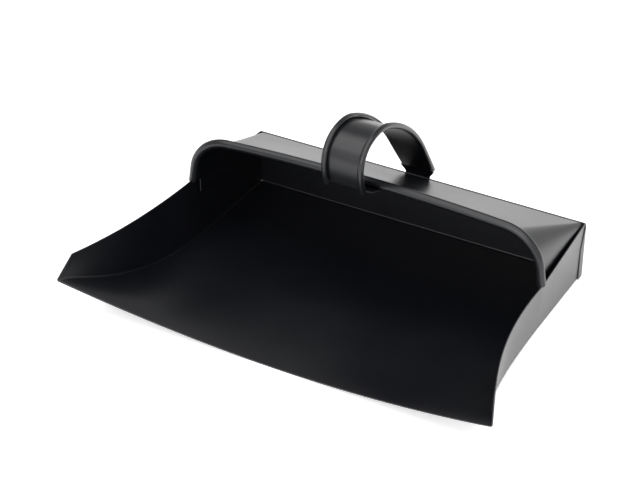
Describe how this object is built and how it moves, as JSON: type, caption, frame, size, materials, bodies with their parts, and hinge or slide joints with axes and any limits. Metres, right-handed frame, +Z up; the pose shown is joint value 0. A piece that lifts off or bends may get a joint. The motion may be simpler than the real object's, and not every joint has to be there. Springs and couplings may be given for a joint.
{
  "type": "hooded dustpan",
  "caption": "Hooded steel dustpan: folded pan with upswept front corners, domed hood with a rolled edge and a strap handle with rolled sides.",
  "frame": {"origin": "on the ground under the middle of the whole object", "axes": "X across the pan with the handle in the middle, -Y out of the mouth of the pan, Z up from the ground"},
  "size_m": [0.3692, 0.255, 0.1499],
  "materials": {
    "black_paint": "satin",
    "wire_steel": "satin"
  },
  "bodies": {
    "root": {"pan_body": "black_paint", "hood": "black_paint", "handle_strap": "black_paint", "hood_edge_wire": "wire_steel", "handle_edge_wire_left": "wire_steel", "handle_edge_wire_right": "wire_steel", "handle_rivet_left": "black_paint", "handle_rivet_right": "black_paint"}
  },
  "joints": []
}
